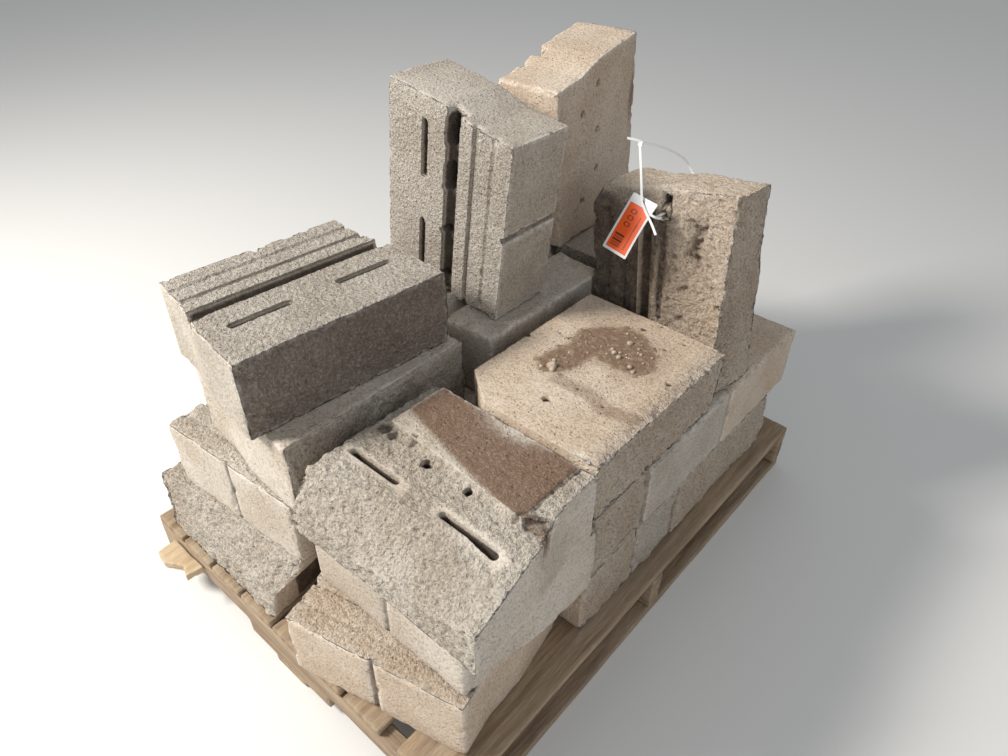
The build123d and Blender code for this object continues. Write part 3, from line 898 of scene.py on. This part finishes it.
# %% Soil and pebbles
def soil_mat():
    """The points and faces of the mat, without the cells that lie wholly under the block's top."""
    step = 0.003
    columns = np.arange(0.14, 0.395, step)
    rows = np.arange(-0.14, 0.145, step)
    grid_x, grid_y = np.meshgrid(columns, rows)
    flat = np.stack([grid_x.ravel(), grid_y.ravel(), np.zeros(grid_x.size)], 1)
    soil = patch(flat, soil_outline, 0.02)
    heights = []
    for (x, y, _), share in zip(flat, soil):
        lumps = noise_tools.fractal((x * 60, y * 60, 3.0), 0.6, 2.2, 4)
        crumbs = noise_tools.fractal((x * 260, y * 260, 9.0), 0.7, 2.1, 2)
        heights.append(share * (0.001 + 0.0028 * lumps + 0.0014 * crumbs) - 0.0016)
    heights = np.array(heights)
    count = len(columns)
    faces = []
    for row in range(len(rows) - 1):
        for column in range(count - 1):
            first = row * count + column
            corner = [first, first + 1, first + count + 1, first + count]
            if heights[corner].max() > -0.0006:
                faces.append(corner)
    flat[:, 2] = dirty_top + heights
    return flat, faces


def pebble(shell, place, radius, seed):
    """One stone, a ball pushed out of round and half sunk."""
    made = bmesh.ops.create_icosphere(shell, subdivisions=2, radius=radius)
    for point in made["verts"]:
        bump = noise_tools.noise(point.co * (0.9 / radius) + Vector((seed, 0, 0)))
        point.co *= 1 + 0.3 * bump
        point.co.z *= 0.75
        point.co += Vector(place) + Vector((0, 0, radius * 0.35))


soil_points, soil_faces = soil_mat()
shell = bmesh.new()
soil_vertices = [shell.verts.new(point) for point in soil_points]
for corners_of_face in soil_faces:
    shell.faces.new([soil_vertices[index] for index in corners_of_face])
soil_face_count = len(shell.faces)
stones = [
    (0.277, 0.066, 0.006), (0.212, -0.087, 0.0095), (0.219, -0.093, 0.006), (0.272, 0.022, 0.005),
    (0.263, 0.03, 0.004), (0.286, 0.016, 0.005), (0.28, 0.03, 0.0035), (0.312, 0.05, 0.0035),
    (0.3, 0.062, 0.003), (0.205, -0.07, 0.0045), (0.198, -0.098, 0.004), (0.33, 0.03, 0.003),
    (0.318, 0.004, 0.005), (0.33, -0.004, 0.004),
]
stone_count = 44
chance = np.random.default_rng(7)
while len(stones) < stone_count:
    x, y = chance.uniform(0.17, 0.37), chance.uniform(-0.12, 0.12)
    if patch(np.array([[x, y, 0]]), soil_outline, 0.03)[0] > chance.uniform(0.2, 1.0):
        stones.append((x, y, chance.uniform(0.0012, 0.0028)))
for number, (x, y, radius) in enumerate(stones):
    pebble(shell, (x, y, dirty_top - 0.0005), radius, number * 1.7)


def soil_finish(name, dark, pale):
    finish, tree, shader, place = new_finish(name, 0.2)
    shader["Roughness"].default_value = 0.95
    lumps = steps(tree, noise(tree, place, 0.012, 5.0, 0.7), 0.35, 0.7)
    colour = mixed(tree, lumps, (*dark, 1), (*pale, 1))
    crumbs = noise(tree, place, 0.0028, 2.0, 0.8)
    # Low crumbs of the relief are painted darker, as shade in them.
    colour = mixed(tree, times(tree, steps(tree, crumbs, 0.5, 0.36), 0.5), colour, (*dark, 1))
    tree.links.new(colour, shader["Base Color"])
    add_bump(tree, shader, crumbs, 0.7, 0.0012)
    return finish


dried_soil = soil_finish("dried soil", (0.17, 0.12, 0.08), (0.36, 0.265, 0.185))
stone = soil_finish("pebble", (0.36, 0.27, 0.2), (0.66, 0.56, 0.46))
soil_piece = link_shell("soil_and_pebbles", shell, (dried_soil, stone))
soil_mesh = soil_piece.data
for face in soil_mesh.polygons:
    face.material_index = 0 if face.index < soil_face_count else 1
soil_mesh.shade_smooth()
hand_over(soil_piece)

# %% [markdown]
# ## The pallet
# Old pallet wood is grey-brown, with washed-out fibres and round corners. Its wear tree stretches the
# noise along the grain, so one tree serves the boards and the stringers, which run across them.

# %% Geometry Nodes tree for weathered wood
def weathered_wood_tree():
    tree, given, result = wear_group("Weathered wood", [
        ("Grain Stretch", "Vector", (1, 12, 1)),
        ("Fibre Depth", "Float", 0.0012),
        ("Corner Wear", "Float", 0.003),
    ])
    place = shifted_place(tree, given["Seed"])
    inputs = {0: place, 1: given["Grain Stretch"]}
    along = place_node(tree, "ShaderNodeVectorMath", inputs, operation="DIVIDE")[0]
    edge = steps(tree, edge_distance(tree, given["CAD Solid"]), 0.011, 0.0)
    fibres = times(tree, noise(tree, along, 0.009, 4.0), given["Fibre Depth"])
    bites = steps(tree, noise(tree, along, 0.03, 3.0), 0.42, 0.7)
    wear = times(tree, times_plus(tree, bites, 0.85, 0.15), edge)
    wear = times(tree, wear, given["Corner Wear"])
    inwards = calculate(tree, "ADD", calculate(tree, "ADD", fibres, wear), 0.0002)
    normal = place_node(tree, "GeometryNodeInputNormal")[0]
    offset = scaled(tree, normal, times(tree, inwards, -1.0))
    shape = store(tree, given["Geometry"], "edge", edge)
    shape = place_node(tree, "GeometryNodeSetPosition", {"Geometry": shape, "Offset": offset})[0]
    finish_tree(tree, given, result, shape)
    return tree


wood_wear = weathered_wood_tree()

# %% Wood finishes
wood_colours = ("Early", "Late", "Bleached")
wood_masks = ("Edge",)


def wood_group():
    tree, given, result = look_group("Weathered wood look", wood_colours, wood_masks)
    place = given["Position"]
    rings = steps(tree, noise(tree, place, 0.012, 5.0, 0.6), 0.36, 0.66)
    fibres = steps(tree, noise(tree, place, 0.0022, 3.0, 0.7), 0.35, 0.65)
    colour = mixed(tree, rings, given["Early"], given["Late"])
    sun = steps(tree, noise(tree, place, 0.06, 4.0, 0.6), 0.35, 0.7)
    colour = mixed(tree, times(tree, sun, 0.7), colour, given["Bleached"])
    colour = mixed(tree, times(tree, fibres, 0.35), colour, given["Late"])
    colour = mixed(tree, times(tree, given["Edge"], 0.35), colour, given["Bleached"])
    tree.links.new(colour, result["Color"])
    tree.links.new(times_plus(tree, fibres, 0.12, 0.78), result["Roughness"])
    tree.links.new(times_plus(tree, rings, 0.5, fibres), result["Height"])
    return tree


wood_look = wood_group()


def wood_finish(name, stretch, *colours):
    """Wood whose grain runs along the axis with the large stretch."""
    return group_finish(name, wood_look, dict(zip(wood_colours, colours)), wood_masks, 0.6, 0.0012, stretch)


along_y = (1, 14, 1)
along_x = (14, 1, 1)
old_wood = ((0.42, 0.31, 0.2), (0.2, 0.13, 0.08), (0.47, 0.38, 0.28))
board_wood = wood_finish("old boards", along_y, *old_wood)
stringer_wood = wood_finish("old stringers", along_x, *old_wood)
fresh_wood = wood_finish("broken board", along_y, (0.62, 0.46, 0.28), (0.4, 0.28, 0.16), (0.7, 0.58, 0.42))


def make_timber(node, keep, stretch=along_y, finish=board_wood, voxel=0.006):
    """Dresses one board or stringer."""
    piece = fine_copy(node, voxel)
    seed = float(read_points(piece.data).mean() * 50)
    values = {"Material": finish, "Grain Stretch": stretch, "Seed": seed}
    wear_down(piece, node, wood_wear, values, keep)


for number in range(1, 9):
    make_timber(f"deck_board_{number}", 0.4)
for side in ("left", "middle", "right"):
    make_timber(f"{side}_bottom_board", 0.3)
for side in ("front", "middle", "rear"):
    make_timber(f"{side}_stringer", 0.5, along_x, stringer_wood)
make_timber("broken_board", 0.8, finish=fresh_wood, voxel=0.003)

# %% [markdown]
# ## Tag and ties
# A bent card with an orange print hangs on white nylon ties that pass through the block's pin hole. The
# card is a fine grid, so each square can take the white, the orange or the black of the print. The print
# is generic: a border, a cut corner, rings, bars and a row of dashes. The ties are flat straps along
# smooth curves.

# %% Plastic finishes
def plastic_finish(name, colour, roughness):
    finish, tree, shader, place = new_finish(name)
    shader["Roughness"].default_value = roughness
    scuffs = steps(tree, noise(tree, place, 0.012, 5.0, 0.7), 0.45, 0.8)
    share = times(tree, scuffs, 0.2)
    worn = [0.7 * value + 0.06 for value in colour]
    tree.links.new(mixed(tree, share, (*colour, 1), (*worn, 1)), shader["Base Color"])
    return finish


white_nylon = plastic_finish("white nylon", (0.86, 0.87, 0.86), 0.35)
tag_white = plastic_finish("white card", (0.86, 0.87, 0.88), 0.45)
tag_orange = plastic_finish("orange print", (1.0, 0.12, 0.008), 0.45)
tag_black = plastic_finish("dark print", (0.16, 0.03, 0.015), 0.5)

# %% Tag
tag_middle = Vector((0.19, 0.158, 0.762))
tag_across = Vector((58, -10, -4)).normalized()
tag_hang = Vector((-18, -64, -95))               # the way the tag hangs, as in the CAD model
tag_up = (tag_across * tag_hang.dot(tag_across) - tag_hang).normalized()
tag_out = tag_across.cross(tag_up)
tag_half_width = 0.029
tag_half_length = 0.0565
tag_hole_up = 0.0475
tag_hole_radius = 0.0042
tag_cut_corner = 0.002
tag_bend = 0.003
ring_left = 6
ring_ups = (26, 13, 0)
ring_stretch = 1.45


def print_colour(right, up):
    """Which colour the print has, in millimetres from the card's middle: 0 white, 1 orange, 2 dark."""
    orange = abs(right) < 24.5 and -52 < up < 40 and right + up < 52
    if not orange:
        return 0
    for ring_up in ring_ups:
        distance = math.hypot((right + ring_left) / ring_stretch, up - ring_up)
        if 3.2 < distance < 5.0:
            return 2
    bars = -46 < up < -20 and -19 < right < 4
    if bars and math.sin(up * 2.3) + math.sin(up * 5.1) > 0.1:
        return 2
    dashes = 13 < right < 16 and -46 < up < 24
    if dashes and math.sin(up * 1.6) > -0.2:
        return 2
    return 1


def make_tag():
    """The card: a bent grid of one-millimetre squares with a hole, cut corners and its print."""
    cell = 0.001
    columns = int(2 * tag_half_width / cell)
    rows = int(2 * tag_half_length / cell)
    shell = bmesh.new()
    grid = {}
    for row in range(rows + 1):
        for column in range(columns + 1):
            right = column * cell - tag_half_width
            up = row * cell - tag_half_length
            out = -tag_bend * (up / tag_half_length) ** 2 * (0.6 + 0.4 * right / tag_half_width)
            place = tag_middle + tag_across * right + tag_up * up + tag_out * out
            grid[row, column] = shell.verts.new(place)
    for row in range(rows):
        for column in range(columns):
            right = (column + 0.5) * cell - tag_half_width
            up = (row + 0.5) * cell - tag_half_length
            from_corner = tag_half_width + tag_half_length - abs(right) - abs(up)
            if math.hypot(right, up - tag_hole_up) < tag_hole_radius or from_corner < tag_cut_corner:
                continue
            corners = ((row, column), (row, column + 1), (row + 1, column + 1), (row + 1, column))
            face = shell.faces.new([grid[corner] for corner in corners])
            face.material_index = print_colour(right * 1000, up * 1000)
    piece = link_shell("tag_card", shell, (tag_white, tag_orange, tag_black))
    thick = piece.modifiers.new("card", "SOLIDIFY")
    thick.thickness = 0.0009
    thick.offset = 0
    bake(piece)
    for face in piece.data.polygons:
        if face.normal.dot(tag_out) < 0.3:
            face.material_index = 0
    hand_over(piece, "tag")


make_tag()

# %% Ties
tie_width = 0.0044
tie_thickness = 0.0015
to_viewer = Vector((0.43, -0.83, 0.34))          # the way the straps' flat side looks


def curve_through(stops, per_stop=10):
    """Points on a smooth curve through the stops."""
    stops = [Vector(stop) for stop in stops]
    padded = [stops[0] * 2 - stops[1]] + stops + [stops[-1] * 2 - stops[-2]]
    found = []
    for index in range(1, len(padded) - 2):
        before, start, end, after = padded[index - 1:index + 3]
        for part in range(per_stop):
            t = part / per_stop
            found.append(0.5 * (
                2 * start + (end - before) * t + (2 * before - 5 * start + 4 * end - after) * t * t
                + (3 * start - before - 3 * end + after) * t * t * t
            ))
    return found + [stops[-1]]


def make_straps(name, node, *routes):
    """Flat straps along routes."""
    shell = bmesh.new()
    half = tie_width / 2
    thin = tie_thickness / 2
    bevel = 0.0004
    outline = [(half - bevel, thin), (half, thin - bevel), (half, bevel - thin), (half - bevel, -thin)]
    outline += [(-across, -out) for across, out in outline]
    for stops in routes:
        points = curve_through(stops)
        rings = []
        for index, point in enumerate(points):
            along = (points[min(index + 1, len(points) - 1)] - points[max(index - 1, 0)]).normalized()
            side = along.cross(to_viewer).normalized()
            out = side.cross(along)
            ring = [point + side * across + out * height for across, height in outline]
            rings.append([shell.verts.new(place) for place in ring])
        for first, second in zip(rings, rings[1:]):
            for index in range(len(outline)):
                after = (index + 1) % len(outline)
                shell.faces.new([first[index], first[after], second[after], second[index]])
        shell.faces.new(rings[0])
        shell.faces.new(rings[-1][::-1])
    bmesh.ops.recalc_face_normals(shell, faces=shell.faces)
    hand_over(link_shell(name, shell, (white_nylon,)), node)


tag_knot = (0.197, 0.181, 0.803)                 # where the front strap meets the card
hole_height = 0.7757                             # of the tagged block's pin hole
front_route = [(0.154, 0.222, 0.887), (0.171, 0.206, 0.856), (0.187, 0.191, 0.822), tag_knot]
tail_route = [tag_knot, (0.214, 0.171, 0.791), (0.234, 0.161, 0.779), (0.252, 0.15, 0.767)]
loose_end = [(0.156, 0.226, 0.892), (0.146, 0.218, 0.896), (0.134, 0.208, 0.899)]
make_straps("front_strap", "front_tie", front_route, tail_route)
rear_route = [
    (0.154, 0.228, 0.891), (0.165, 0.26, 0.88), (0.175, 0.3, 0.861), (0.183, 0.335, 0.84),
    (0.186, 0.356, 0.823), (0.2, 0.364, 0.8), (0.233, 0.36, 0.781), (0.2445, 0.35, hole_height),
    (0.2405, 0.322, hole_height),
]
make_straps("rear_strap", "rear_tie", rear_route, loose_end)
short_route = [(0.221, 0.171, 0.791), (0.232, 0.173, 0.787), (0.237, 0.184, 0.782), (0.231, 0.196, 0.778)]
short_route += [(0.223, 0.2034, hole_height), (0.2339, 0.2766, hole_height)]
make_straps("short_strap", "short_tie", short_route)
tie_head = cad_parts["tie_head"]
tie_head.data.materials.clear()
tie_head.data.materials.append(white_nylon)
